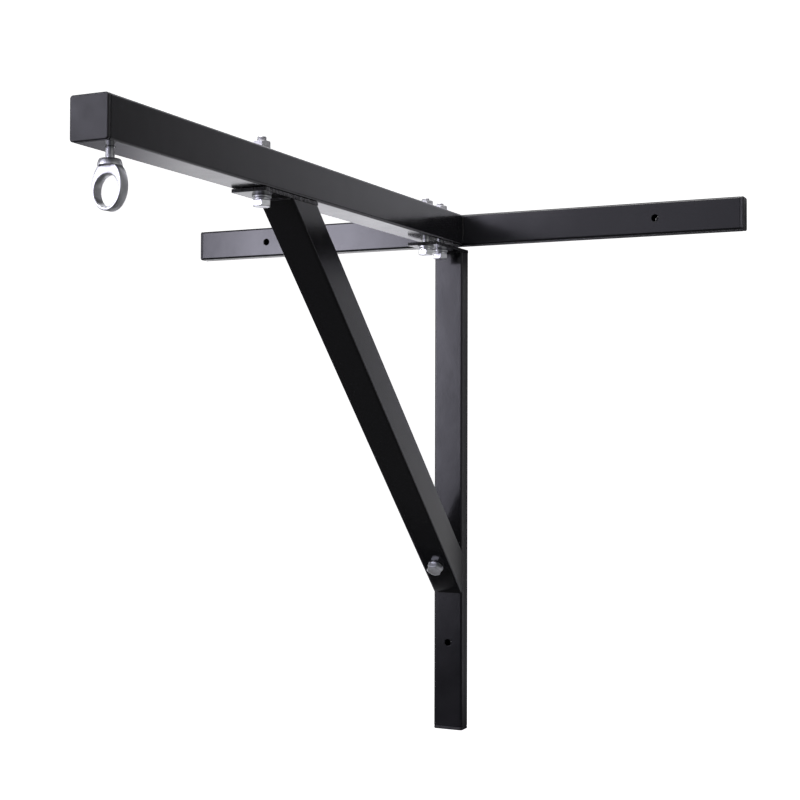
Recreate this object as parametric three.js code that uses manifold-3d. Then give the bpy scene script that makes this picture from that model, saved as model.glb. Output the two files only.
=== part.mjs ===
// Wall bracket for a hanging punch bag: a crossbar and a post that screw to the wall, an arm
// welded to the crossbar, a diagonal brace under the arm, and a swivelling eye for the bag's
// chain. Millimetres. +X runs right along the wall, +Y into the wall and +Z up. The origin is
// on the wall, at the centre of the crossbar's back face.
import * as THREE from 'three';
import { mergeVertices } from 'three/addons/utils/BufferGeometryUtils.js';
import Module from 'manifold-3d';

// Overall sizes
const crossbarLength = 766; // over both end caps
const armReach = 776; // wall to the front of the arm's cap
const braceReach = 471; // wall to where the brace's lower face would meet the arm
const braceDrop = 451; // arm's underside to where that face meets the post
const postBelowBrace = 176; // from there to the underside of the post's cap

// Tubes
const armSide = 40; // square tube
const braceSide = 40; // square tube
const barWidth = 40; // crossbar and post, the face on the wall
const barDepth = 20; // crossbar and post, out from the wall
const tubeWall = 2;
const cornerRadius = 3; // outside corner of every tube

// End caps
const capFlange = 4;
const capPlugDepth = 12;
const capWall = 2;
const capEdge = 1.2; // rounding of the flange's outer edge

// Plates
const plateThickness = 4;
const plateCorner = 2;
const postPlateLength = 104; // wall to its front edge
const postPlateGap = 4.5; // clear space under the arm and the crossbar
const armPlateLead = 54; // from its front edge to the brace's lower face

// Fixings
const wallHole = 9;
const wallHoleInset = 108; // from either end of the crossbar
const postHoleRise = 112; // above the underside of the post's cap
const boltDiameter = 10;
const boltHeadHeight = 0.64 * boltDiameter;
const hexAcrossFlats = 1.7 * boltDiameter; // bolt heads and nuts
const nutHeight = 0.8 * boltDiameter;
const boltPastNut = 2.5; // at least
const boltLengthStep = 5; // bolts come in steps of this
const washerDiameter = 2 * boltDiameter;
const washerThickness = 2;
const springWasherDiameter = 1.76 * boltDiameter;
const springWasherThickness = 2.2;
const springWasherSlit = 1.6;
const armBoltSetback = 27; // from the arm plate's front edge
const postBoltSetback = 12; // from the post plate's front edge
const postBoltPitch = 44.5;

// Joint between the brace's foot and the post
const footBoltRise = 54; // up the brace from its lowest corner
const footTabLength = 84;
const footTabThickness = 4;

// Eye
const eyeShank = 8;
const eyeShankShown = 10.3; // below the arm
const eyeCollarTopDiameter = 18.8;
const eyeCollarDiameter = 21.8; // where it meets the ring
const eyeCollarHeight = 6.2;
const eyeCollarDish = 2.6; // depth of the hollow under the collar
const eyeRingHeight = 43; // of the ring's outer oval
const eyeRingInset = 1.8; // its top, below the collar's top
const eyeInnerDiameter = 28.5;
const eyeBandThickness = 3;
const eyeBandWidth = 10;
const eyeTurn = THREE.MathUtils.degToRad(-7.5); // of the ring's plane, at rest
const eyeWasherDiameter = 24;
const eyeNutAcrossFlats = 13;
const eyeNutHeight = 8;
const eyeThreadPastNut = 2.5;

// Clearances
const seam = 0.3; // between pieces that touch
const holeClearance = 1; // of a hole over its bolt
const tabClearance = 3; // on each side of the tab in the brace's foot
const eyeWasherClearance = 2; // from the plug of the arm's cap
const overlap = 1; // of solids that are joined into one piece, and past the faces of a cut

const steelBlack = { color: 0x17181a, roughness: 0.35, metalness: 0.1 };
const plasticBlack = { color: 0x26272a, roughness: 0.55, metalness: 0 };
const zinc = { color: 0xb9bcc0, roughness: 0.3, metalness: 0.9 };

const wasm = await Module();
wasm.setup();

function toSolid(geometry) {
  const bare = geometry.clone();
  bare.deleteAttribute('normal');
  bare.deleteAttribute('uv');
  const merged = mergeVertices(bare, 1e-4);
  return new wasm.Manifold(new wasm.Mesh({
    numProp: 3,
    vertProperties: new Float32Array(merged.attributes.position.array),
    triVerts: new Uint32Array(merged.index.array),
  }));
}

function toGeometry(solid) {
  const result = solid.getMesh();
  const geometry = new THREE.BufferGeometry();
  geometry.setAttribute('position', new THREE.BufferAttribute(result.vertProperties, 3));
  geometry.setIndex(new THREE.BufferAttribute(result.triVerts, 1));
  geometry.computeVertexNormals();
  return geometry;
}

function join(...geometries) {
  return toGeometry(geometries.map(toSolid).reduce((whole, piece) => whole.add(piece)));
}

function cut(geometry, ...tools) {
  return toGeometry(tools.map(toSolid).reduce((whole, tool) => whole.subtract(tool), toSolid(geometry)));
}

// Draws a rounded rectangle centred on the origin.
function trace(path, width, height, radius) {
  const x = width / 2 - radius;
  const y = height / 2 - radius;
  const quarter = Math.PI / 2;
  path.absarc(x, y, radius, 0, quarter);
  path.absarc(-x, y, radius, quarter, 2 * quarter);
  path.absarc(-x, -y, radius, 2 * quarter, 3 * quarter);
  path.absarc(x, -y, radius, 3 * quarter, 4 * quarter);
  path.closePath();
  return path;
}

function slab(width, height, radius, depth) {
  const outline = trace(new THREE.Shape(), width, height, radius);
  return new THREE.ExtrudeGeometry(outline, { depth, bevelEnabled: false, curveSegments: 4 });
}

// An open tube along +Z from z = 0.
function tube(width, height, length) {
  const outline = trace(new THREE.Shape(), width, height, cornerRadius);
  const innerRadius = Math.max(cornerRadius - tubeWall, 0.8);
  outline.holes.push(trace(new THREE.Path(), width - 2 * tubeWall, height - 2 * tubeWall, innerRadius));
  return new THREE.ExtrudeGeometry(outline, { depth: length, bevelEnabled: false, curveSegments: 4 });
}

// An end cap whose flange stands on z = 0 towards +Z, with its hollow plug below it.
function endCap(width, height) {
  const outline = trace(
    new THREE.Shape(), width - 2 * capEdge, height - 2 * capEdge, Math.max(cornerRadius - capEdge, 0.5));
  const flange = new THREE.ExtrudeGeometry(outline, {
    depth: capFlange - 2 * capEdge,
    bevelThickness: capEdge,
    bevelSize: capEdge,
    bevelSegments: 2,
    curveSegments: 3,
  });
  flange.translate(0, 0, capEdge);
  const inset = 2 * (tubeWall + seam);
  const plug = slab(width - inset, height - inset, 1, capPlugDepth + overlap);
  plug.translate(0, 0, -capPlugDepth);
  const hollow = slab(width - inset - 2 * capWall, height - inset - 2 * capWall, 1, capPlugDepth + overlap);
  hollow.translate(0, 0, -capPlugDepth - overlap);
  return cut(join(flange, plug), hollow);
}

// A round bar along +Z from z = 0, also used to drill holes.
function rod(diameter, length, segments = 24) {
  const bar = new THREE.CylinderGeometry(diameter / 2, diameter / 2, length, segments);
  bar.rotateX(Math.PI / 2);
  bar.translate(0, 0, length / 2);
  return bar;
}

function hexPrism(acrossFlats, height) {
  const prism = rod(acrossFlats / Math.cos(Math.PI / 6), height, 6);
  prism.rotateZ(Math.PI / 6);
  return prism;
}

// A drill along +Z that passes a wall of the given depth centred on z = 0.
function drill(diameter, depth) {
  return rod(diameter, depth + 2 * overlap).translate(0, 0, -depth / 2 - overlap);
}

function ring(outer, inner, height) {
  return cut(rod(outer, height), drill(inner, 2 * height + 2 * overlap));
}

// A bolt along +Z whose head bears on z = 0.
function bolt(diameter, length) {
  const head = hexPrism(hexAcrossFlats, boltHeadHeight).translate(0, 0, -boltHeadHeight);
  const shank = rod(diameter, length + overlap).translate(0, 0, -overlap);
  return join(head, shank);
}

function nut(acrossFlats, diameter, height) {
  return cut(hexPrism(acrossFlats, height), drill(diameter + 2 * seam, 2 * height));
}

function springWasher() {
  const slit = new THREE.BoxGeometry(springWasherDiameter, springWasherSlit, 2 * springWasherDiameter);
  slit.rotateX(Math.PI / 6);
  slit.translate(springWasherDiameter / 2, 0, 0);
  return cut(ring(springWasherDiameter, boltDiameter + 2 * seam, springWasherThickness), slit);
}

const bracket = new THREE.Group();

function place(parent, name, geometry, finish, x = 0, y = 0, z = 0) {
  const mesh = new THREE.Mesh(geometry, new THREE.MeshStandardMaterial(finish));
  mesh.name = name;
  mesh.position.set(x, y, z);
  parent.add(mesh);
  return mesh;
}

// How far out the brace's lower face is at a level.
function braceFaceAt(z) {
  const risen = (z - armUnderside + braceDrop) / braceDrop;
  return barFront - risen * (braceReach - barDepth);
}

// The next stock length that goes through the grip and its nut.
function stockLength(grip) {
  return boltLengthStep * Math.ceil((grip + boltPastNut) / boltLengthStep);
}

// Levels and planes that several pieces share
const armTop = armSide / 2;
const armUnderside = -armSide / 2;
const barFront = -barDepth;
const armFrontEnd = -(armReach - capFlange - seam);
const boltHole = boltDiameter + holeClearance;
const braceSlope = Math.atan2(braceDrop, braceReach - barDepth);
const armPlateLength = armPlateLead + braceSide / Math.sin(braceSlope);
const plateUnderside = armUnderside - seam - plateThickness;
const armBoltY = braceFaceAt(plateUnderside - seam) - armPlateLead + armBoltSetback;
const postPlateTop = Math.min(armUnderside, -barWidth / 2) - postPlateGap;
const postBoltYs = [0, 1].map((n) => -(postPlateLength - postBoltSetback - n * postBoltPitch));
const postBottom = armUnderside - braceDrop - postBelowBrace;
const wallHoleOffset = crossbarLength / 2 - wallHoleInset;
const eyeSetback = capFlange + capPlugDepth + eyeWasherClearance + eyeWasherDiameter / 2;
const eyeY = -(armReach - eyeSetback);

function addCrossbar() {
  const tubeLength = crossbarLength - 2 * (capFlange + seam);
  const bar = tube(barDepth, barWidth, tubeLength).translate(0, 0, -tubeLength / 2);
  bar.rotateY(Math.PI / 2);
  bar.rotateX(Math.PI / 2);
  const holes = [-wallHoleOffset, wallHoleOffset].map((x) => {
    return drill(wallHole, barDepth).rotateX(Math.PI / 2).translate(x, 0, 0);
  });
  place(bracket, 'crossbar_tube', cut(bar, ...holes), steelBlack, 0, barFront / 2, 0);
  for (const [name, side] of [['crossbar_cap_left', -1], ['crossbar_cap_right', 1]]) {
    const x = side * (tubeLength / 2 + seam);
    const cap = place(bracket, name, endCap(barWidth, barDepth), plasticBlack, x, barFront / 2, 0);
    cap.rotation.y = side * Math.PI / 2;
  }
}

function addArm() {
  const length = -armFrontEnd + barFront - seam;
  const bar = tube(armSide, armSide, length).rotateX(Math.PI / 2).translate(0, barFront - seam, 0);
  const boltHoles = [armBoltY, ...postBoltYs].map((y) => drill(boltHole, armSide).translate(0, y, 0));
  const eyeBore = drill(eyeShank + holeClearance, tubeWall).translate(0, eyeY, armUnderside + tubeWall / 2);
  place(bracket, 'arm_tube', cut(bar, ...boltHoles, eyeBore), steelBlack);
  const cap = place(bracket, 'arm_front_cap', endCap(armSide, armSide), plasticBlack);
  cap.position.set(0, armFrontEnd - seam, 0);
  cap.rotation.x = Math.PI / 2;
}

function addPost() {
  const plateZ = postPlateTop - plateThickness;
  const plate = slab(barWidth, postPlateLength, plateCorner, plateThickness);
  const holes = postBoltYs.map((y) => {
    return drill(boltHole, 2 * plateThickness).translate(0, y + postPlateLength / 2, 0);
  });
  place(bracket, 'post_top_plate', cut(plate, ...holes), steelBlack, 0, -postPlateLength / 2, plateZ);

  const top = plateZ - seam;
  const capTop = postBottom + capFlange;
  const length = top - capTop - seam;
  const holeRise = postHoleRise - capFlange - seam;
  const hole = drill(wallHole, barDepth).rotateX(Math.PI / 2).translate(0, 0, holeRise);
  const bar = cut(tube(barWidth, barDepth, length), hole);
  place(bracket, 'post_tube', bar, steelBlack, 0, barFront / 2, top - length);
  const cap = place(bracket, 'post_foot_cap', endCap(barWidth, barDepth), plasticBlack);
  cap.position.set(0, barFront / 2, capTop);
  cap.rotation.x = Math.PI;
}

// The stack of one bolt that comes up through a plate and the arm, with its nut on the arm.
function addArmBolt(prefix, y, plateUnderside, topWasher) {
  const washerZ = plateUnderside - seam - washerThickness;
  const springZ = washerZ - seam - springWasherThickness;
  const bearingZ = springZ - seam;
  const washer = ring(washerDiameter, boltDiameter + 2 * seam, washerThickness);
  place(bracket, `${prefix}_washer`, washer, zinc, 0, y, washerZ);
  place(bracket, `${prefix}_spring_washer`, springWasher(), zinc, 0, y, springZ);
  let nutZ = armTop + seam;
  if (topWasher) {
    place(bracket, `${prefix}_top_washer`, washer.clone(), zinc, 0, y, nutZ);
    nutZ += washerThickness + seam;
  }
  const length = stockLength(nutZ + nutHeight - bearingZ);
  place(bracket, `${prefix}`, bolt(boltDiameter, length), zinc, 0, y, bearingZ);
  place(bracket, `${prefix}_nut`, nut(hexAcrossFlats, boltDiameter, nutHeight), zinc, 0, y, nutZ);
}

function addBrace() {
  const frame = new THREE.Group(); // +Z up the brace, +Y from its lower face inwards
  frame.position.set(0, barFront, armUnderside - braceDrop);
  frame.rotation.x = Math.PI / 2 - braceSlope;
  frame.updateMatrix();
  const toFrame = frame.matrix.clone().invert();
  bracket.add(frame);

  const fullLength = Math.hypot(braceDrop, braceReach - barDepth);
  const cutSize = 4 * braceSide;
  const overPlate = new THREE.BoxGeometry(cutSize, 4 * fullLength, cutSize);
  overPlate.translate(0, 0, plateUnderside - seam + cutSize / 2).applyMatrix4(toFrame);
  const inPost = new THREE.BoxGeometry(cutSize, cutSize, 4 * fullLength);
  inPost.translate(0, barFront - seam + cutSize / 2, 0).applyMatrix4(toFrame);

  const footHole = drill(boltHole, 2 * tubeWall).rotateX(Math.PI / 2).translate(0, 0, footBoltRise);
  const bar = tube(braceSide, braceSide, fullLength + 4 * braceSide);
  bar.translate(0, braceSide / 2, -2 * braceSide);
  place(frame, 'brace_tube', cut(bar, overPlate, inPost, footHole), steelBlack);

  const tabY = tubeWall + seam;
  const tabWidth = braceSide - 2 * (tubeWall + tabClearance);
  const tab = slab(tabWidth, footTabLength + braceSide, plateCorner, footTabThickness);
  tab.rotateX(-Math.PI / 2).translate(0, tabY, (footTabLength - braceSide) / 2);
  const tabHole = drill(boltHole, 4 * footTabThickness).rotateX(Math.PI / 2).translate(0, tabY, footBoltRise);
  place(frame, 'foot_tab', cut(tab, inPost, tabHole), steelBlack);

  const towardsPost = -Math.PI / 2; // turns +Z to the frame's +Y
  const nutY = tabY + footTabThickness + seam;
  const footNut = nut(hexAcrossFlats, boltDiameter, nutHeight).rotateX(towardsPost);
  place(frame, 'foot_weld_nut', footNut, zinc, 0, nutY, footBoltRise);
  const washerY = -seam - washerThickness;
  const washer = ring(washerDiameter, boltDiameter + 2 * seam, washerThickness).rotateX(towardsPost);
  place(frame, 'foot_bolt_washer', washer, zinc, 0, washerY, footBoltRise);
  const bearingY = washerY - seam;
  const footBolt = bolt(boltDiameter, stockLength(nutY + nutHeight - bearingY)).rotateX(towardsPost);
  place(frame, 'foot_bolt', footBolt, zinc, 0, bearingY, footBoltRise);

  const plateFront = armBoltY - armBoltSetback;
  const plate = slab(braceSide, armPlateLength, plateCorner, plateThickness);
  const plateHole = drill(boltHole, 2 * plateThickness).translate(0, armBoltSetback - armPlateLength / 2, 0);
  const plateY = plateFront + armPlateLength / 2;
  place(bracket, 'brace_top_plate', cut(plate, plateHole), steelBlack, 0, plateY, plateUnderside);
  addArmBolt('arm_bolt', armBoltY, plateUnderside, true);
}

// The forged eye hangs on a nut and a washer inside the arm, and turns freely about its shank.
function addEye() {
  const collarTop = armUnderside - eyeShankShown;
  const washerZ = armUnderside + tubeWall + seam;
  const nutZ = washerZ + washerThickness + seam;
  const shankTop = nutZ + eyeNutHeight + eyeThreadPastNut;
  const shank = rod(eyeShank, shankTop - collarTop + overlap).translate(0, 0, -overlap);
  const rimRadius = eyeCollarDiameter / 2;
  const collarProfile = [
    [0, eyeCollarDish - eyeCollarHeight],
    [rimRadius - 5, eyeCollarDish - eyeCollarHeight],
    [rimRadius - 1.4, -eyeCollarHeight],
    [rimRadius - 0.4, -eyeCollarHeight],
    [rimRadius, 0.6 - eyeCollarHeight],
    [eyeCollarTopDiameter / 2, -1],
    [eyeCollarTopDiameter / 2 - 0.6, 0],
    [0, 0],
  ].map(([x, y]) => new THREE.Vector2(x, y));
  const collar = new THREE.LatheGeometry(collarProfile, 24).rotateX(Math.PI / 2);
  const outerWidth = eyeInnerDiameter + 2 * eyeBandThickness;
  const outside = rod(outerWidth, eyeBandWidth, 48).scale(1, eyeRingHeight / outerWidth, 1);
  outside.translate(0, 0, -eyeBandWidth / 2);
  const holeDrop = (eyeRingHeight - outerWidth) / 2; // the ring is thickest at its top
  const hole = rod(eyeInnerDiameter, 2 * eyeBandWidth, 48).translate(0, -holeDrop, -eyeBandWidth);
  const band = cut(outside, hole).rotateX(Math.PI / 2).rotateZ(eyeTurn);
  band.translate(0, 0, -eyeRingInset - eyeRingHeight / 2);
  place(bracket, 'eye_bolt', join(shank, collar, band), zinc, 0, eyeY, collarTop);
  const washer = ring(eyeWasherDiameter, eyeShank + 2 * seam, washerThickness);
  place(bracket, 'eye_washer', washer, zinc, 0, eyeY, washerZ);
  place(bracket, 'eye_nut', nut(eyeNutAcrossFlats, eyeShank, eyeNutHeight), zinc, 0, eyeY, nutZ);
}

addCrossbar();
addArm();
addPost();
addBrace();
postBoltYs.forEach((y, n) => addArmBolt(`post_bolt_${n + 1}`, y, postPlateTop - plateThickness, false));
addEye();

export default bracket;
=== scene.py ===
"""Studio scene of the wall bracket for a punch bag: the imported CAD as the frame, finer pieces in place
of its nodes, a white stage, soft light and a camera at the photo's angle. The bracket's sizes are in
millimetres, and the stage's are in metres."""

import bpy
import bmesh
import math
import random
from mathutils import Matrix, Vector


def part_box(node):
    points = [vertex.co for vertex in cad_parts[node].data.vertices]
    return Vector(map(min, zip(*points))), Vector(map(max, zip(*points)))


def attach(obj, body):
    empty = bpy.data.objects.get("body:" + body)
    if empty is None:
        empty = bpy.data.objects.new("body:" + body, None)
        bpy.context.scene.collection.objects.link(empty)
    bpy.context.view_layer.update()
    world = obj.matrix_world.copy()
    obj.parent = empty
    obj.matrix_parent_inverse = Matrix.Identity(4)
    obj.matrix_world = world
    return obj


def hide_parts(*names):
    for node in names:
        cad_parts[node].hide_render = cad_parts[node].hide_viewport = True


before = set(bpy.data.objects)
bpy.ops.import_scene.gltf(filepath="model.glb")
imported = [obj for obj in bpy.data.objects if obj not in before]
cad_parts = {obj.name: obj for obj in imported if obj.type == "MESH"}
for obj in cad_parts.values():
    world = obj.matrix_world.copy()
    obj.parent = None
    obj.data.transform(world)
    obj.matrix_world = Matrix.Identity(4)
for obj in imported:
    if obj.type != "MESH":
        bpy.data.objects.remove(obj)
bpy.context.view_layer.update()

MM = 0.001
SEAM = 0.3  # between pieces that touch
CORNER = 3.0  # outside corner of every tube
WALL = 2.0  # of every tube
BOLT_HEAD = 6.4  # height of an M10 head
FLATS_TO_RIM = 0.955  # the circle that a hexagon's turned chamfer starts from, over its flats
X, Y, Z = Vector((1, 0, 0)), Vector((0, 1, 0)), Vector((0, 0, 1))
random.seed(7)


def low_high(node):
    """The two corners of a CAD node's box, in millimetres."""
    low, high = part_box(node)
    return Vector(low) / MM, Vector(high) / MM


def axes(origin, along, side):
    """A frame whose z runs along and whose x runs to the side."""
    z = Vector(along).normalized()
    x = (Vector(side) - Vector(side).dot(z) * z).normalized()
    y = z.cross(x)
    m = Matrix((x, y, z)).transposed().to_4x4()
    m.translation = Vector(origin)
    return m


# ---------------------------------------------------------------- materials


class Nodes:
    """Short hand for building a node material."""

    def __init__(self, name):
        self.material = bpy.data.materials.new(name)
        self.material.use_nodes = True
        self.tree = self.material.node_tree
        self.bsdf = self.tree.nodes["Principled BSDF"]
        self.coords = self.add("ShaderNodeTexCoord").outputs["Object"]

    def add(self, kind, **values):
        node = self.tree.nodes.new(kind)
        for key, value in values.items():
            setattr(node, key, value)
        return node

    def link(self, source, socket):
        self.tree.links.new(source, socket)

    def noise(self, scale, detail=4.0, roughness=0.55, stretch=None):
        node = self.add("ShaderNodeTexNoise")
        node.inputs["Scale"].default_value = scale
        node.inputs["Detail"].default_value = detail
        node.inputs["Roughness"].default_value = roughness
        source = self.coords
        if stretch:
            mapping = self.add("ShaderNodeMapping")
            mapping.inputs["Scale"].default_value = stretch
            self.link(source, mapping.inputs["Vector"])
            source = mapping.outputs["Vector"]
        self.link(source, node.inputs["Vector"])
        return node.outputs["Fac"]

    def ramp(self, source, low, high, out_low, out_high):
        node = self.add("ShaderNodeMapRange")
        node.inputs["From Min"].default_value = low
        node.inputs["From Max"].default_value = high
        node.inputs["To Min"].default_value = out_low
        node.inputs["To Max"].default_value = out_high
        self.link(source, node.inputs["Value"])
        return node.outputs["Result"]

    def math(self, operation, a, b):
        node = self.add("ShaderNodeMath", operation=operation)
        for socket, value in zip(node.inputs, (a, b)):
            if isinstance(value, (int, float)):
                socket.default_value = value
            else:
                self.link(value, socket)
        return node.outputs["Value"]

    def mix(self, factor, a, b):
        node = self.add("ShaderNodeMix", data_type="RGBA")
        self.link(factor, node.inputs["Factor"])
        node.inputs["A"].default_value = (*a, 1)
        node.inputs["B"].default_value = (*b, 1)
        return node.outputs["Result"]

    def bump(self, height, strength, distance):
        node = self.add("ShaderNodeBump")
        node.inputs["Strength"].default_value = strength
        node.inputs["Distance"].default_value = distance
        self.link(height, node.inputs["Height"])
        self.link(node.outputs["Normal"], self.bsdf.inputs["Normal"])

    def set(self, **values):
        for key, value in values.items():
            socket = self.bsdf.inputs[key.replace("_", " ")]
            if isinstance(value, (int, float, tuple)):
                socket.default_value = value
            else:
                self.link(value, socket)


def powder_coat():
    """Glossy black powder coat: orange peel, handling smudges and specks of dust."""
    n = Nodes("black_powder_coat")
    peel = n.noise(620, 2.0, 0.5)
    smudge = n.noise(11, 5.0, 0.6)
    streak = n.noise(26, 3.0, 0.5)
    specks = n.ramp(n.noise(900, 2.0, 0.7), 0.72, 0.78, 0.0, 1.0)
    wave = n.noise(34, 2.0, 0.4)
    rough = n.math("ADD", n.ramp(smudge, 0.3, 0.7, 0.1, 0.17), n.ramp(streak, 0.35, 0.7, 0.0, 0.05))
    n.set(Base_Color=n.mix(specks, (0.0075, 0.0075, 0.0085), (0.035, 0.035, 0.038)))
    n.set(Roughness=rough, Specular_IOR_Level=0.42, Metallic=0.0)
    n.bump(n.math("ADD", peel, n.math("MULTIPLY", wave, 5.0)), 0.14, 0.0002)
    return n.material


def sheared_edge():
    """The same coat over the rough edge of a sheared plate."""
    n = Nodes("black_coat_on_sheared_edge")
    tear = n.noise(330, 3.0, 0.6, (1.0, 1.0, 0.35))
    grain = n.noise(1100, 2.0, 0.6)
    n.set(Base_Color=n.mix(grain, (0.005, 0.005, 0.0055), (0.012, 0.012, 0.013)))
    n.set(Roughness=n.ramp(tear, 0.35, 0.65, 0.2, 0.55), Specular_IOR_Level=0.4)
    n.bump(n.math("ADD", tear, n.math("MULTIPLY", grain, 0.3)), 1.0, 0.002)
    return n.material


def moulded_plastic():
    """Black moulded polypropylene with a fine spark-eroded grain."""
    n = Nodes("black_plastic")
    grain = n.noise(1500, 3.0, 0.6)
    wear = n.noise(45, 4.0, 0.6)
    n.set(Base_Color=n.mix(wear, (0.009, 0.009, 0.01), (0.014, 0.014, 0.015)))
    n.set(Roughness=n.ramp(wear, 0.3, 0.7, 0.46, 0.56), Specular_IOR_Level=0.42)
    n.bump(grain, 0.22, 0.00012)
    return n.material


def zinc_plate(name, roughness, tint):
    """Bright zinc plate: fine drawn lines, faint clouding and a slight blue passivation."""
    n = Nodes(name)
    cloud = n.noise(160, 4.0, 0.6)
    lines = n.noise(900, 2.0, 0.5, (0.12, 0.12, 1.0))
    n.set(Base_Color=n.mix(n.ramp(cloud, 0.3, 0.7, 0.0, 1.0), tint, tuple(0.84 * c for c in tint)))
    clouded = n.ramp(cloud, 0.3, 0.7, roughness, roughness + 0.1)
    n.set(Metallic=1.0, Roughness=n.math("ADD", clouded, n.ramp(lines, 0.3, 0.7, 0, 0.05)))
    n.bump(n.math("ADD", lines, cloud), 0.12, 0.0001)
    return n.material


def stage_white():
    """The white of the floor and the backdrop."""
    n = Nodes("stage_white")
    tone = n.noise(0.8, 2.0, 0.5)
    n.set(Base_Color=n.mix(tone, (0.9, 0.9, 0.9), (0.92, 0.92, 0.92)), Roughness=0.8)
    n.set(Emission_Color=(1.0, 1.0, 1.0, 1.0), Emission_Strength=1.1)
    return n.material


COAT = powder_coat()
EDGE = sheared_edge()
PLASTIC = moulded_plastic()
ZINC = zinc_plate("zinc_fixings", 0.3, (0.74, 0.75, 0.77))
DULL = zinc_plate("zinc_dull", 0.55, (0.62, 0.62, 0.635))
FORGED = zinc_plate("zinc_forging", 0.36, (0.72, 0.73, 0.75))

# ---------------------------------------------------------------- mesh helpers


def finish_mesh(obj, sharp=32.0):
    """Shades smooth except over edges sharper than an angle in degrees."""
    obj.data.polygons.foreach_set("use_smooth", [True] * len(obj.data.polygons))
    obj.data.set_sharp_from_angle(angle=math.radians(sharp))
    obj.data.update()


def object_from(name, source, place=None):
    """An object from rings of points joined in turn, or from a bmesh."""
    if isinstance(source, bmesh.types.BMesh):
        bm = source
    else:
        bm = bmesh.new()
        add_rings(bm, source)
    bmesh.ops.recalc_face_normals(bm, faces=bm.faces)
    if place is not None:
        bm.transform(place)
    bm.transform(Matrix.Scale(MM, 4))
    mesh = bpy.data.meshes.new(name)
    bm.to_mesh(mesh)
    bm.free()
    obj = bpy.data.objects.new(name, mesh)
    bpy.context.scene.collection.objects.link(obj)
    return obj


def add_rings(bm, rings, wrap=False):
    """Joins rings of equal length with quads. The ends are capped, or joined to each other."""
    made = [[bm.verts.new(p) for p in ring] for ring in rings]
    pairs = list(zip(made, made[1:]))
    if wrap:
        pairs.append((made[-1], made[0]))
    for a, b in pairs:
        for i in range(len(a)):
            j = (i + 1) % len(a)
            bm.faces.new((a[i], a[j], b[j], b[i]))
    if not wrap:
        bm.faces.new(list(reversed(made[0])))
        bm.faces.new(made[-1])


def rounded(width, height, radius, steps=8):
    """A rounded rectangle as (x, y) points, anticlockwise."""
    points = []
    corners = ((1, 1, 0), (-1, 1, 90), (-1, -1, 180), (1, -1, 270))
    for sx, sy, start in corners:
        cx = sx * (width / 2 - radius)
        cy = sy * (height / 2 - radius)
        for k in range(steps + 1):
            a = math.radians(start + 90 * k / steps)
            points.append((cx + radius * math.cos(a), cy + radius * math.sin(a)))
    return points


def circle(radius, z, count=48):
    """A level circle of points."""
    turn = 2 * math.pi / count
    return [Vector((radius * math.cos(turn * k), radius * math.sin(turn * k), z)) for k in range(count)]


def revolve(name, profile, place, count=48):
    """A closed (radius, z) profile turned about z."""
    bm = bmesh.new()
    add_rings(bm, [circle(r, z, count) for r, z in profile], wrap=True)
    return object_from(name, bm, place=place)


def soften(obj, width, segments=2, angle=40.0):
    """Rounds the sharp edges and keeps the flat faces flat."""
    bevel = obj.modifiers.new("edges", "BEVEL")
    bevel.width = width * MM
    bevel.segments = segments
    bevel.limit_method = "ANGLE"
    bevel.angle_limit = math.radians(angle)
    bevel.miter_outer = "MITER_ARC"
    bevel.use_clamp_overlap = True
    bake(obj)
    finish_mesh(obj)
    normals = obj.modifiers.new("normals", "WEIGHTED_NORMAL")
    normals.keep_sharp = True
    normals.weight = 60


def bake(obj):
    """Turns the object's modifiers into its mesh."""
    graph = bpy.context.evaluated_depsgraph_get()
    graph.update()
    old = obj.data
    new = bpy.data.meshes.new_from_object(obj.evaluated_get(graph))
    obj.modifiers.clear()
    obj.data = new
    new.name = obj.name
    bpy.data.meshes.remove(old)


def discard(obj):
    """Removes an object and its mesh."""
    mesh = obj.data
    bpy.data.objects.remove(obj)
    bpy.data.meshes.remove(mesh)


def combine(obj, operation, other):
    """Adds a boolean of two solids, to be baked."""
    mod = obj.modifiers.new(operation.lower(), "BOOLEAN")
    mod.operation = operation
    mod.solver = "EXACT"
    mod.object = other


def drill(obj, holes):
    """Takes round holes, given as (centre, direction, diameter, length), out of an object."""
    cutters = []
    for centre, direction, diameter, length in holes:
        side = X if abs(Vector(direction).normalized().dot(X)) < 0.9 else Y
        ends = [circle(diameter / 2, z, 40) for z in (-length / 2, length / 2)]
        cutter = object_from("cutter", ends, place=axes(centre, direction, side))
        combine(obj, "DIFFERENCE", cutter)
        cutters.append(cutter)
    bake(obj)
    for cutter in cutters:
        discard(cutter)


def fit(obj, material, body, *nodes):
    """Gives a piece its material and its body, and hides the CAD node it stands for, if any."""
    obj.data.materials.clear()
    obj.data.materials.append(material)
    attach(obj, body)
    if nodes:
        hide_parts(*nodes)


# ---------------------------------------------------------------- tubes, plates and caps


def plane_hit(point, direction, plane):
    """Where a line through a point meets a plane, given as (point, normal)."""
    at, normal = plane
    return point + direction * ((at - point).dot(normal) / direction.dot(normal))


def tube_piece(node, width, height, place, start, end, holes):
    """A square or flat tube whose ends are cut by two planes, with drilled and softened holes."""
    direction = place.to_3x3() @ Z
    outer = [place @ Vector((x, y, 0)) for x, y in rounded(width, height, CORNER)]
    bore = rounded(width - 2 * WALL, height - 2 * WALL, CORNER - WALL)
    inner = [place @ Vector((x, y, 0)) for x, y in bore]
    rings = []
    for loop, plane in ((outer, start), (outer, end), (inner, end), (inner, start)):
        rings.append([plane_hit(p, direction, plane) for p in loop])
    bm = bmesh.new()
    add_rings(bm, rings, wrap=True)
    piece = object_from("vis_" + node, bm)
    drill(piece, holes)
    soften(piece, 0.35)
    fit(piece, COAT, "bracket", node)


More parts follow.
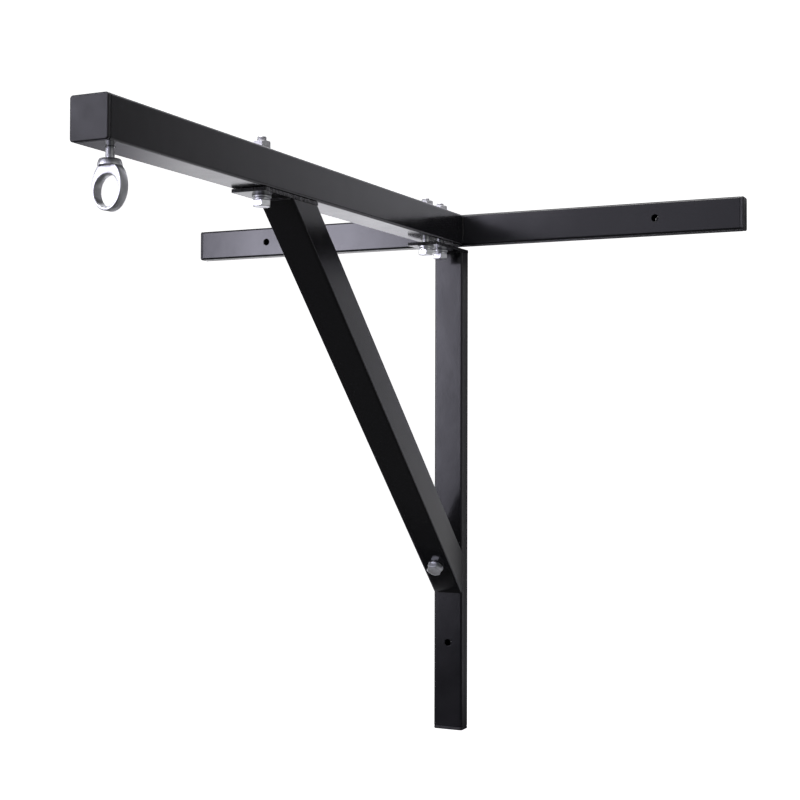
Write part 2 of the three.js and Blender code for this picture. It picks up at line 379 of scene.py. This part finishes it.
def plate_piece(node, holes):
    """A flat plate with rounded corners, from its CAD node's box."""
    low, high = low_high(node)
    size = high - low
    centre = (low + high) / 2
    outline = rounded(size.x, size.y, 2.0)
    rings = [[centre + Vector((x, y, z)) for x, y in outline] for z in (-size.z / 2, size.z / 2)]
    piece = object_from("vis_" + node, rings)
    drill(piece, holes)
    soften(piece, 0.5)
    fit(piece, COAT, "bracket", node)
    piece.data.materials.append(EDGE)
    for face in piece.data.polygons:
        face.material_index = 1 if abs(face.normal.z) < 0.5 else 0


def cap_piece(node, width, height, place, plug=12.0, flange=4.0, roll=1.3):
    """A moulded end cap: a flange with a soft edge and a shallow dish, and a hollow plug."""
    rings = []

    def ring(inset, z, radius):
        points = rounded(width - 2 * inset, height - 2 * inset, max(radius, 0.4))
        rings.append([Vector((x, y, z)) for x, y in points])

    fit_gap = WALL + SEAM
    ring(fit_gap + 2.0, -plug, 0.6)
    ring(fit_gap + 0.4, -plug, 0.8)
    ring(fit_gap, -plug + 1.2, 1.0)
    ring(fit_gap, 0.0, 1.0)
    ring(0.25, 0.0, CORNER - 0.2)
    for k in range(6):
        a = math.radians(18 * k)
        ring(roll * (1 - math.cos(a)), flange - roll + roll * math.sin(a), CORNER - (1 - math.cos(a)))
    ring(2.6, flange, CORNER - 1.6)
    ring(3.3, flange - 0.12, CORNER - 2.0)
    outer = object_from("vis_" + node, rings, place=place)
    finish_mesh(outer, 45)
    normals = outer.modifiers.new("normals", "WEIGHTED_NORMAL")
    normals.keep_sharp = True
    fit(outer, PLASTIC, "bracket", node)


# ---------------------------------------------------------------- fixings


def hexagon(flats, z, count=72):
    """A hexagon with its points at 0, 60, ... degrees, as a ring of many points."""
    ring = []
    for k in range(count):
        a = 2 * math.pi * k / count
        off = (a % (math.pi / 3)) - math.pi / 6
        reach = flats / 2 / math.cos(off)
        ring.append(Vector((reach * math.cos(a), reach * math.sin(a), z)))
    return ring


def chamfered_rim(flats, z, lift):
    """The hexagon's edge where a turned 30 degree chamfer cuts it. The lift is -1 below a top
    face and +1 above a bottom one."""
    ring = []
    flat_radius = FLATS_TO_RIM * flats / 2
    for p in hexagon(flats, z):
        drop = max(0.0, math.hypot(p.x, p.y) - flat_radius) * math.tan(math.radians(30))
        ring.append(Vector((p.x, p.y, z + lift * drop)))
    return ring


def hex_body(flats, height, bore=0.0):
    """A bolt head (bore 0) with a shallow dish in its top, or a nut with countersunk ends."""
    inner = FLATS_TO_RIM * flats / 2
    sink, countersunk = 0.9, bore / 2 + 0.8
    if bore:
        radii = [(bore / 2, sink), (countersunk, 0)]
    else:
        radii = [(2.0, 0)]
    rings = [circle(r, z, 72) for r, z in radii + [(inner, 0)]]
    rings.append(chamfered_rim(flats, 0, 1.0 if bore else 0.15))
    rings.append(chamfered_rim(flats, height, -1.0))
    if bore:
        radii = [(inner, 0), (countersunk, 0), (bore / 2, sink)]
    else:
        radii = [(inner, 0), (inner * 0.72, 0.02), (inner * 0.66, 0.28), (inner * 0.2, 0.3)]
    rings += [circle(r, height - down, 72) for r, down in radii]
    bm = bmesh.new()
    add_rings(bm, rings, wrap=bool(bore))
    return bm


def threaded_rod(name, place, radius, start, end, pitch=1.5, around=30, lead=1.2):
    """A screw thread along z as a closed skin, with a chamfered tip."""
    bm = bmesh.new()
    profile = (0.0, 0.0, 0.5, 0.92, 0.92, 0.5)  # depth along one pitch: crest, flank, root, flank
    rows = len(profile)
    total = int((end - start) / pitch * rows) + rows
    columns = []
    for i in range(around):
        a = 2 * math.pi * i / around
        column = []
        for j in range(-rows, total + 1):
            z = start + pitch * (j / rows + i / around)
            depth = 0.55 * pitch * profile[j % rows]
            z = min(max(z, start), end)
            tip = max(0.0, lead - (end - z)) * 0.8
            r = radius - max(depth, tip) - 0.02
            column.append(Vector((r * math.cos(a), r * math.sin(a), z)))
        columns.append(column)
    verts = [[bm.verts.new(p) for p in column] for column in columns]
    for i in range(around):
        nxt = (i + 1) % around
        shift = rows if nxt == 0 else 0
        for j in range(len(verts[i]) - 1):
            a, b = verts[i][j], verts[i][j + 1]
            if j + 1 + shift >= len(verts[nxt]):
                continue
            c, d = verts[nxt][j + 1 + shift], verts[nxt][j + shift]
            if (a.co - b.co).length < 1e-5 and (c.co - d.co).length < 1e-5:
                continue
            bm.faces.new((a, d, c, b))
    bmesh.ops.remove_doubles(bm, verts=bm.verts, dist=1e-4)
    open_edges = [e for e in bm.edges if e.is_boundary]
    if open_edges:
        bmesh.ops.holes_fill(bm, edges=open_edges, sides=0)
    rod = object_from(name, bm, place)
    finish_mesh(rod, 38)
    return rod


def bolt_piece(node, place, length, diameter=10, flats=17, head=BOLT_HEAD, threaded_length=26.0):
    """A hex bolt along z that bears on z = 0: plain below the head, then threaded and duller."""
    head_mesh = hex_body(flats, head)
    head_mesh.transform(Matrix.Rotation(math.pi, 4, "X"))
    made = object_from("vis_" + node, head_mesh, place)
    soften(made, 0.22, 2, 25.0)
    plain = max(0.0, length - threaded_length)
    if plain:
        reach = diameter / 2 - 0.05
        rings = [circle(reach, -0.5), circle(reach, plain - 0.4), circle(reach - 0.5, plain + 0.3)]
        shank = object_from(node + "_shank", rings, place)
        finish_mesh(shank, 38)
        join(made, shank)
    rod = threaded_rod(node + "_thread", place, diameter / 2, plain - 0.5, length)
    thread_faces = len(rod.data.polygons)
    join(made, rod)
    fit(made, ZINC, "bracket", node)
    made.data.materials.append(DULL)
    for face in made.data.polygons[-thread_faces:]:
        face.material_index = 1


def join(first, second):
    """Puts the second object's mesh into the first."""
    bake(first)
    bm = bmesh.new()
    bm.from_mesh(first.data)
    bm.from_mesh(second.data)
    bm.to_mesh(first.data)
    bm.free()
    discard(second)
    finish_mesh(first, 34)


def nut_piece(node, place, diameter=10, flats=17, body="bracket", material=ZINC):
    """A nut on z = 0, 8 mm high."""
    piece = object_from("vis_" + node, hex_body(flats, 8, diameter + 0.2), place)
    soften(piece, 0.2, 2, 25.0)
    fit(piece, material, body, node)


def washer_piece(node, place, outer=20, inner=10.6, thick=2, body="bracket"):
    """A punched washer: one rim rolled over by the punch, the other crisp."""
    edge = 0.3
    profile = [(inner / 2 + 0.15, 0.0), (outer / 2 - edge, 0.0)]
    for k in range(1, 5):
        a = math.radians(90 * k / 5)
        profile.append((outer / 2 - edge + edge * math.sin(a), edge - edge * math.cos(a)))
    profile += [(outer / 2, edge), (outer / 2, thick - 0.15), (outer / 2 - 0.15, thick)]
    profile += [(inner / 2 + 0.3, thick), (inner / 2, thick - 0.25), (inner / 2, 0.15)]
    piece = revolve("vis_" + node, profile, place, 64)
    finish_mesh(piece, 34)
    fit(piece, ZINC, body, node)


def spring_washer_piece(node, place, outer=17.6, inner=10.6, thick=2.2, gap=1.6, turn=200):
    """A split ring of square wire whose ends are cut on the slant."""
    middle = (outer + inner) / 4
    half_gap = gap / 2 / middle
    rings = []
    count = 60
    edge = 0.3
    section = rounded((outer - inner) / 2, thick, edge, 3)
    for k in range(count + 1):
        ring = []
        for x, z in section:
            slant = (z / middle) * math.tan(math.radians(30))
            start = half_gap + slant
            a = start + (2 * math.pi - 2 * half_gap) * k / count + math.radians(turn)
            r = middle + x
            rise = 0.22 * (k / count - 0.5)
            ring.append(Vector((r * math.cos(a), r * math.sin(a), z + thick / 2 + rise)))
        rings.append(ring)
    piece = object_from("vis_" + node, rings, place=place)
    soften(piece, 0.12, 1, 50.0)
    fit(piece, ZINC, "bracket", node)


# ---------------------------------------------------------------- welds


def weld(name, path, first, second, leg, seed):
    """A fillet weld along a path, between faces that run along first and along second."""
    noise = random.Random(seed)
    total = 0.0
    points = [Vector(p) for p in path]
    spots = []
    for a, b in zip(points, points[1:]):
        steps = max(2, int((b - a).length / 0.45))
        for k in range(steps):
            spots.append((a.lerp(b, k / steps), total + (b - a).length * k / steps))
        total += (b - a).length
    spots.append((points[-1], total))
    u, v = Vector(first).normalized(), Vector(second).normalized()
    rings = []
    wander = noise.uniform(0, 6)
    for spot, s in spots:
        ripple = abs(math.sin(math.pi * s / 2.3 + 0.6 * math.sin(s * 0.9 + wander)))
        size = leg * (0.86 + 0.14 * ripple + 0.08 * math.sin(s * 0.37 + wander))
        ends = min(1.0, min(s, total - s) / 2.2)
        size *= 0.25 + 0.75 * math.sqrt(max(0.0, 1 - (1 - ends) ** 2))
        ring = [spot - 0.25 * (u + v)]
        for k in range(7):
            a = math.radians(90 * k / 6)
            bulge = 1.0 - 0.22 * math.sin(2 * a)
            ring.append(spot + size * bulge * (math.cos(a) * u + math.sin(a) * v))
        rings.append(ring)
    piece = object_from(name, rings)
    finish_mesh(piece, 60)
    fit(piece, EDGE, "bracket")


# ---------------------------------------------------------------- the bracket

bar_low, bar_high = low_high("crossbar_tube")
arm_low, arm_high = low_high("arm_tube")
post_low, post_high = low_high("post_tube")
brace_high = low_high("brace_tube")[1]

SQUARE = 40  # side of the arm's and the brace's tube
WIDE, DEEP = 40, 20  # the crossbar's and the post's tube
BAR_Y = -DEEP / 2
SCREW_HOLE, BOLT_HOLE, EYE_HOLE = 9, 11, 9
WALL_HOLE_X = 275.0
POST_HOLE_Z = -535.0
BOLT_YS = {"arm_bolt": -493.4, "post_bolt_1": -92.0, "post_bolt_2": -47.5}
EYE_Y = -746.0
NUT_SEAT_Z = 20.3  # on the arm


def upright(y, z):
    """An upright frame on the arm's middle plane."""
    return axes((0, y, z), Z, X)


tube_piece(
    "crossbar_tube", DEEP, WIDE, axes((0, BAR_Y, 0), X, Y), (bar_low, X), (bar_high, X),
    [((s * WALL_HOLE_X, BAR_Y, 0), Y, SCREW_HOLE, 24) for s in (-1, 1)])
tube_piece(
    "arm_tube", SQUARE, SQUARE, axes((0, 0, 0), Y, X), (arm_low, Y), (arm_high, Y),
    [((0, y, 0), Z, BOLT_HOLE, 44) for y in BOLT_YS.values()] + [((0, EYE_Y, -19), Z, EYE_HOLE, 6)])
tube_piece(
    "post_tube", WIDE, DEEP, axes((0, BAR_Y, 0), Z, X), (post_low, Z), (post_high, Z),
    [((0, BAR_Y, POST_HOLE_Z), Y, SCREW_HOLE, 24)])

UP = Vector((0, -1, 1)).normalized()  # the brace's own directions
IN = Vector((0, 1, 1)).normalized()
FOOT = Vector((0, -DEEP, -471))  # its lowest corner
FOOT_BOLT = FOOT + 54 * UP
tube_piece(
    "brace_tube", SQUARE, SQUARE, axes(FOOT + SQUARE / 2 * IN, UP, X), (brace_high, Y), (brace_high, Z),
    [(FOOT_BOLT + IN, IN, BOLT_HOLE, 6)])

plate_piece(
    "post_top_plate",
    [((0, BOLT_YS[bolt], -26.5), Z, BOLT_HOLE, 8) for bolt in ("post_bolt_1", "post_bolt_2")])
plate_piece("brace_top_plate", [((0, BOLT_YS["arm_bolt"], -22.3), Z, BOLT_HOLE, 8)])

cap_piece("crossbar_cap_left", DEEP, WIDE, axes((-379, BAR_Y, 0), -X, Y))
cap_piece("crossbar_cap_right", DEEP, WIDE, axes((379, BAR_Y, 0), X, Y))
cap_piece("arm_front_cap", SQUARE, SQUARE, axes((0, -772, 0), -Y, X))
cap_piece("post_foot_cap", WIDE, DEEP, axes((0, BAR_Y, -643), -Z, X))

for bolt, y in BOLT_YS.items():
    bearing = low_high(bolt)[0].z + BOLT_HEAD
    bolt_piece(bolt, upright(y, bearing), 65)
    spring_washer_piece(bolt + "_spring_washer", upright(y, bearing + SEAM))
    washer_piece(bolt + "_washer", upright(y, bearing + 2.8))
    nut_z = NUT_SEAT_Z
    if bolt == "arm_bolt":
        washer_piece("arm_bolt_top_washer", upright(y, nut_z))
        nut_z += 2.3
    nut_piece(bolt + "_nut", upright(y, nut_z), material=DULL)

washer_piece("foot_bolt_washer", axes(FOOT_BOLT - SEAM * IN, -IN, X))
bolt_piece("foot_bolt", axes(FOOT_BOLT - 2.6 * IN, IN, X), 20)
nut_piece("foot_weld_nut", axes(FOOT_BOLT + 6.6 * IN, IN, X))

# ---------------------------------------------------------------- the eye


def eye_piece():
    """The eye: a threaded shank, a dished collar, and an oval ring with a round hole."""
    turn = math.radians(-7.5)
    side = Vector((math.cos(turn), math.sin(turn), 0))
    across = side.cross(Z)
    collar_top = upright(EYE_Y, -30.3)
    inner, thick, width = 14.25, 3.0, 10.0  # the hole's radius, and the ring at its foot
    half_width, half_height = inner + thick, 21.5
    centre = Vector((0, EYE_Y, -75.1 + inner + thick))
    rise = half_height - half_width
    section = rounded(thick, width, 0.9, 5)
    rings = []
    for k in range(144):
        a = 2 * math.pi * k / 144
        out = side * math.cos(a) + Z * math.sin(a)
        # The outer oval meets this spoke of the round hole where the quadratic below is nought.
        qa = (math.cos(a) / half_width) ** 2 + (math.sin(a) / half_height) ** 2
        qb = -2 * math.sin(a) * rise / half_height ** 2
        qc = (rise / half_height) ** 2 - 1
        depth = (-qb + math.sqrt(qb * qb - 4 * qa * qc)) / (2 * qa) - inner
        ring = []
        for x, y in section:
            belly = 0.18 * (1 - (2 * y / width) ** 2) * (1 if x > 0 else -1)
            ring.append(centre + out * (inner + depth * (0.5 + x / thick) + belly) + across * y)
        rings.append(ring)
    bm = bmesh.new()
    add_rings(bm, rings, wrap=True)
    eye = object_from("vis_eye_bolt", bm)

    # (radius, z): a core inside the ring's top, the dish, the rim, the flank, and the plain shank
    shape = [(0.01, -12.0), (3.3, -12.0), (3.6, -10.5), (3.7, -8.0), (3.7, -4.6), (4.1, -3.9), (5.0, -3.6)]
    shape += [(6.4, -3.75), (7.8, -4.5), (9.3, -5.75), (9.8, -6.1)]
    shape += [(10.3, -6.25), (10.75, -6.05), (10.9, -5.6)]
    shape += [(10.75, -4.4), (10.2, -2.6), (9.7, -1.1), (9.35, -0.45), (8.8, -0.1), (8.0, 0.0)]
    shape += [(4.7, 0.05), (4.15, 0.3), (4.0, 0.9), (4.0, 9.2), (0.01, 9.2)]
    collar = object_from("eye_collar", [circle(r, z, 72) for r, z in shape], collar_top)
    combine(eye, "UNION", collar)
    bake(eye)
    discard(collar)
    finish_mesh(eye, 42)
    join(eye, threaded_rod("eye_thread", collar_top, 4.0, 8.7, 25.4, 1.25))
    fit(eye, FORGED, "eye", "eye_bolt")


eye_piece()
washer_piece("eye_washer", upright(EYE_Y, -17.7), 24, 8.6, body="eye")
nut_piece("eye_nut", upright(EYE_Y, -15.4), 8, 13, "eye")

# ---------------------------------------------------------------- weld beads

weld("weld_arm_right", [(20, -20, 17), (20, -20, -17)], X, -Y, 1.3, 1)
weld("weld_arm_left", [(-20, -20, 17), (-20, -20, -17)], -X, -Y, 1.3, 2)
weld("weld_post_front", [(-18, -20, -28.5), (18, -20, -28.5)], -Y, -Z, 2.0, 3)
weld("weld_brace_front", [(-18, -466.7, -24.3), (18, -466.7, -24.3)], -Y, (0, 0.707, -0.707), 1.7, 4)

# ---------------------------------------------------------------- carried CAD nodes

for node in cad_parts.values():
    if not node.hide_render:
        node.data.materials.clear()
        node.data.materials.append(COAT)
        node.data.polygons.foreach_set("use_smooth", [False] * len(node.data.polygons))

# ---------------------------------------------------------------- stage, light and camera


def stage_plane(name, low, high, z, material):
    """A flat piece of the stage, in metres."""
    mesh = bpy.data.meshes.new(name)
    corners = [(low[0], low[1], z), (high[0], low[1], z), (high[0], high[1], z), (low[0], high[1], z)]
    mesh.from_pydata(corners, [], [(0, 1, 2, 3)])
    mesh.materials.append(material)
    obj = bpy.data.objects.new(name, mesh)
    bpy.context.scene.collection.objects.link(obj)
    return obj


def seen_by(obj, camera=False, glossy=False, diffuse=False, shadow=False):
    """Says which rays meet a piece of the stage."""
    obj.visible_camera = camera
    obj.visible_glossy = glossy
    obj.visible_diffuse = diffuse
    obj.visible_shadow = shadow
    obj.visible_transmission = False
    obj.visible_volume_scatter = False


def dome(radius, material):
    """A pale backdrop all round."""
    bm = bmesh.new()
    bmesh.ops.create_uvsphere(bm, u_segments=48, v_segments=24, radius=radius)
    mesh = bpy.data.meshes.new("stage_backdrop")
    bm.to_mesh(mesh)
    bm.free()
    mesh.materials.append(material)
    obj = bpy.data.objects.new("stage_backdrop", mesh)
    bpy.context.scene.collection.objects.link(obj)
    return obj


def card_finish():
    """A card whose front scatters light and whose back lets it through. Its colour darkens to either side
    and towards the floor, a painted shade for the light's falloff on a wall, and it glows faintly left of
    the post and beside the post's foot, a painted light for brighter patches of lit wall."""
    n = Nodes("stage_card")
    place = n.add("ShaderNodeSeparateXYZ")
    n.link(n.coords, place.inputs["Vector"])
    x, z = place.outputs["X"], place.outputs["Y"]
    across = n.math("ABSOLUTE", x, 0.0)
    # Painted shade: the card's colour darkens to either side and towards the floor.
    above_floor = n.ramp(z, -0.5, -0.38, 0.0, 1.0)
    painted_falloff_shade = n.math("MULTIPLY", n.ramp(across, 0.12, 0.75, 0.85, 0.12), above_floor)
    tint = n.add("ShaderNodeCombineColor")
    for channel in ("Red", "Green", "Blue"):
        n.link(painted_falloff_shade, tint.inputs[channel])
    n.set(Base_Color=tint.outputs["Color"], Roughness=0.9, Specular_IOR_Level=0.1)
    # Painted light: a faint emission left of the post and beside the post's foot.
    left = n.math("MULTIPLY", n.ramp(x, -0.53, -0.41, 0.0, 0.55), n.ramp(x, -0.05, 0.0, 1.0, 0.0))
    foot = n.math("MULTIPLY", n.ramp(x, 0.03, 0.05, 0.0, 1.0), n.ramp(z, -0.2, 0.0, 0.3, 0.0))
    glow = n.math("MULTIPLY", n.math("ADD", left, foot), above_floor)
    n.set(Emission_Color=(1.0, 1.0, 1.0, 1.0), Emission_Strength=glow)
    clear = n.add("ShaderNodeBsdfTransparent")
    back = n.add("ShaderNodeNewGeometry").outputs["Backfacing"]
    both = n.add("ShaderNodeMixShader")
    n.link(back, both.inputs["Fac"])
    n.link(n.bsdf.outputs["BSDF"], both.inputs[1])
    n.link(clear.outputs["BSDF"], both.inputs[2])
    n.link(both.outputs["Shader"], n.tree.nodes["Material Output"].inputs["Surface"])
    return n.material


WHITE = stage_white()
seen_by(stage_plane("stage_floor", (-14, -14), (14, 14), -1.7, WHITE), camera=True)
seen_by(dome(30, WHITE), camera=True)

# A white card stands where the wall would be. Only the bracket's reflections and shading see it.
card = stage_plane("stage_card", (-1.6, -1.6), (1.6, 1.6), 0, card_finish())
card.rotation_euler = (math.radians(90), 0, 0)
card.location = (0, -0.0005, -0.2)
seen_by(card, glossy=True, diffuse=True, shadow=True)

# Patches of it stand behind the screw holes: dark from in front, and clear from behind. They carry the
# card's painted shade and painted glow.
for label, x, z in (("left", -WALL_HOLE_X, 0), ("right", WALL_HOLE_X, 0), ("low", 0, POST_HOLE_Z)):
    bm = bmesh.new()
    bm.faces.new([bm.verts.new(p) for p in circle(SCREW_HOLE / 2 - 0.1, 0)])
    patch = object_from("stage_card_" + label, bm, axes((x, -0.5, z), -Y, X))
    patch.data.materials.append(card.data.materials[0])


def softbox(name, place, target, width, height, power):
    """An area light in metres and watts, turned to a target."""
    light = bpy.data.lights.new(name, "AREA")
    light.shape = "RECTANGLE"
    light.size = width
    light.size_y = height
    light.energy = power
    obj = bpy.data.objects.new(name, light)
    obj.location = place
    obj.rotation_euler = (Vector(target) - Vector(place)).to_track_quat("-Z", "Y").to_euler()
    obj.visible_camera = False
    bpy.context.scene.collection.objects.link(obj)


def glow_finish():
    """The large diffuser: brightest left of the camera, fading to the right and to the floor."""
    n = Nodes("stage_diffuser")
    place = n.add("ShaderNodeSeparateXYZ")
    n.link(n.coords, place.inputs["Vector"])
    x, z = place.outputs["X"], place.outputs["Y"]

    def smooth(source, low, high, out_low, out_high):
        result = n.ramp(source, low, high, out_low, out_high)
        result.node.interpolation_type = "SMOOTHSTEP"
        return result

    core = smooth(n.math("ABSOLUTE", n.math("ADD", x, 1.97), 0.0), 0.05, 0.75, 9.6, 0.0)
    wing = smooth(x, -1.5, 0.4, 1.33, 0.6)
    height = smooth(z, -1.2, 0.15, 0.03, 1.0)
    level = n.math("MULTIPLY", n.math("ADD", core, wing), height)
    n.set(Base_Color=(0, 0, 0, 1), Roughness=1.0, Specular_IOR_Level=0.0)
    n.set(Emission_Color=(0.9, 0.88, 1.04, 1.0), Emission_Strength=level)
    return n.material


diffuser = stage_plane("stage_diffuser", (-4.2, -1.6), (1.8, 2.2), 0, glow_finish())
diffuser.rotation_euler = (math.radians(90), 0, 0)
diffuser.location = (0, -3.2, 0)
seen_by(diffuser, glossy=True, diffuse=True, shadow=False)

softbox("side_right", (2.8, -0.9, 0.3), (0, -0.4, -0.1), 1.8, 2.0, 9)
softbox("top_soft", (-0.3, -1.2, 2.2), (-0.1, -0.1, -0.1), 1.6, 1.2, 60)
softbox("rear_right", (2.3, 2.4, 0.5), (0, -0.2, -0.2), 2.4, 2.4, 42)
softbox("rear_left", (-2.3, 2.4, 0.5), (0, -0.2, -0.2), 2.4, 2.4, 30)
softbox("rear_low", (0, 3.2, -1.1), (0, 0, -0.2), 3.2, 1.8, 32)
softbox("side_left", (-2.8, -0.9, -0.1), (0, -0.4, -0.2), 1.8, 2.0, 11)

world = bpy.data.worlds.new("studio")
world.use_nodes = True
sky = world.node_tree
direction = sky.nodes.new("ShaderNodeSeparateXYZ")
sky.links.new(sky.nodes.new("ShaderNodeTexCoord").outputs["Generated"], direction.inputs["Vector"])
strength = sky.nodes.new("ShaderNodeMath")
# The first pair of heights brightens the sky upwards, and the second is the floor's bounce.
sky_levels = ((-0.3, 0.6, 0.21, 0.9), (-0.5, -0.8, 0.0, 1.75))
for addend, levels in zip(strength.inputs, sky_levels):
    grade = sky.nodes.new("ShaderNodeMapRange")
    for socket, value in zip(("From Min", "From Max", "To Min", "To Max"), levels):
        grade.inputs[socket].default_value = value
    sky.links.new(direction.outputs["Z"], grade.inputs["Value"])
    sky.links.new(grade.outputs["Result"], addend)
sky.links.new(strength.outputs["Value"], sky.nodes["Background"].inputs["Strength"])
bpy.context.scene.world = world
bpy.context.scene.view_settings.view_transform = "Standard"

yaw, pitch, roll = (math.radians(a) for a in (-25.4087, 1.3162, 0.1654))
ahead = Vector((math.sin(yaw) * math.cos(pitch), math.cos(yaw) * math.cos(pitch), math.sin(pitch)))
level_right = Vector((math.cos(yaw), -math.sin(yaw), 0))
level_up = level_right.cross(ahead)
right = level_right * math.cos(roll) + level_up * math.sin(roll)
above = level_up * math.cos(roll) - level_right * math.sin(roll)
camera = bpy.data.objects.new("camera", bpy.data.cameras.new("camera"))
bpy.context.scene.collection.objects.link(camera)
pose = Matrix((right, above, -ahead)).transposed().to_4x4()
pose.translation = Vector((0.76083, -1.76781, -0.26468))
camera.matrix_world = pose
camera.data.lens = 65.956
camera.data.sensor_width = 36
camera.data.clip_start = 0.01
camera.data.clip_end = 60
bpy.context.scene.camera = camera
